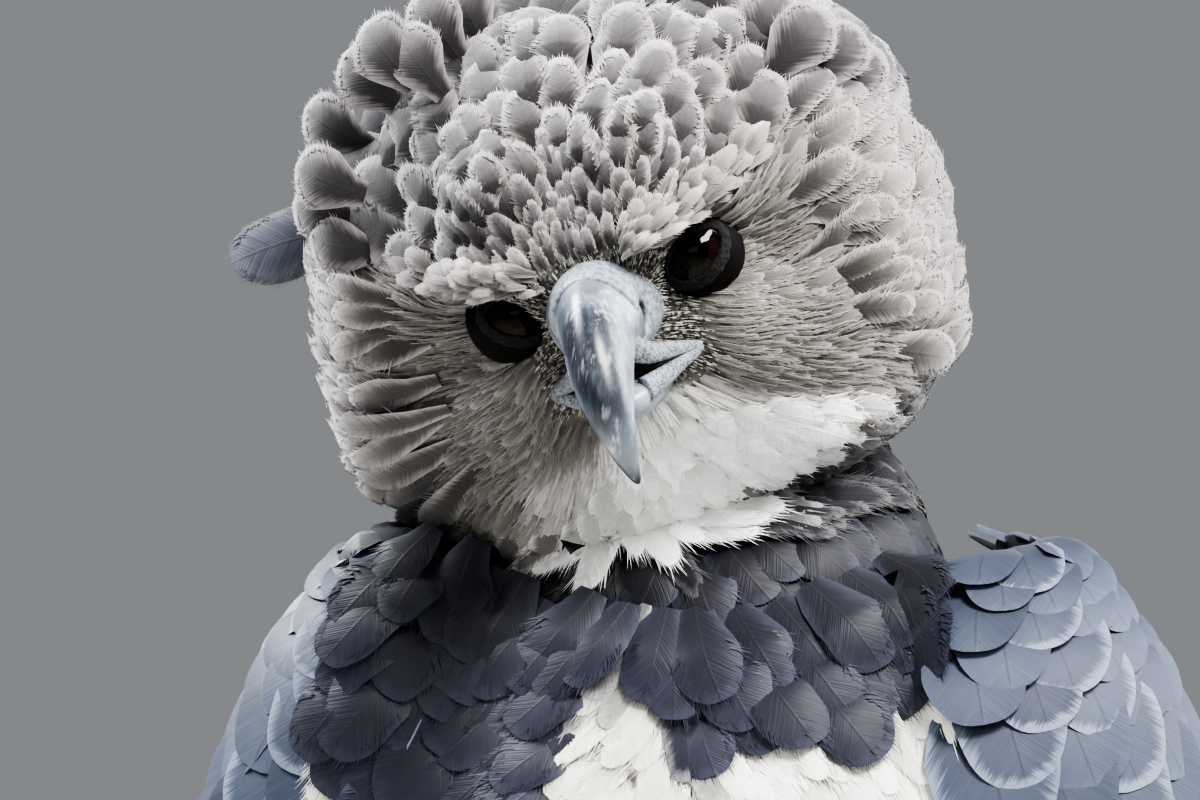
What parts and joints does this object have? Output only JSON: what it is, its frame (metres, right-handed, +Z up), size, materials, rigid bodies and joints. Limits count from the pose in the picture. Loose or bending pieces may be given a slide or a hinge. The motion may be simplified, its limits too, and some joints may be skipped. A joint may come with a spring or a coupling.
{
  "type": "harpy eagle model",
  "caption": "Life-size standing harpy eagle with a tilted head, feathered ruff and raised crest, folded wings, barred tail, hooked beak and heavy clawed feet.",
  "frame": {"origin": "centre of the footprint's bounding box, on the ground between the feet and the tail tip", "axes": "+Z up; the bird faces -Y; its left side is +X"},
  "size_m": [0.3318, 0.528, 0.909],
  "materials": {
    "body_feathers": "slate-black feathers above, white feathers below",
    "neck_feathers": "slate-black feathers",
    "head_feathers": "soft pale grey feathers",
    "eye": "wet and glossy, very dark brown",
    "cere": "waxy blue-grey skin",
    "horn": "worn satin horn, slate blue",
    "tongue": "moist dark pink",
    "crest_feathers": "dark grey feathers with pale tips",
    "wing_feathers": "slate-grey feathers with pale fringes",
    "tail_feathers": "black feathers with grey bands",
    "thigh_feathers": "white feathers with fine black bars",
    "foot_skin": "scaly yellow skin",
    "claw": "polished black horn"
  },
  "bodies": {
    "root": {"torso": "body_feathers", "neck": "neck_feathers", "head": "head_feathers", "eye_left": "eye", "eye_right": "eye", "cere": "cere", "beak_upper": "horn", "beak_lower": "horn", "tongue": "tongue", "crest_left": "crest_feathers", "crest_right": "crest_feathers", "wing_left": "wing_feathers", "wing_right": "wing_feathers", "tail": "tail_feathers", "thigh_left": "thigh_feathers", "thigh_right": "thigh_feathers", "shank_left": "foot_skin", "shank_right": "foot_skin", "toe_hallux_left": "foot_skin", "claw_hallux_left": "claw", "toe_inner_left": "foot_skin", "claw_inner_left": "claw", "toe_middle_left": "foot_skin", "claw_middle_left": "claw", "toe_outer_left": "foot_skin", "claw_outer_left": "claw", "toe_hallux_right": "foot_skin", "claw_hallux_right": "claw", "toe_inner_right": "foot_skin", "claw_inner_right": "claw", "toe_middle_right": "foot_skin", "claw_middle_right": "claw", "toe_outer_right": "foot_skin", "claw_outer_right": "claw"}
  },
  "joints": []
}
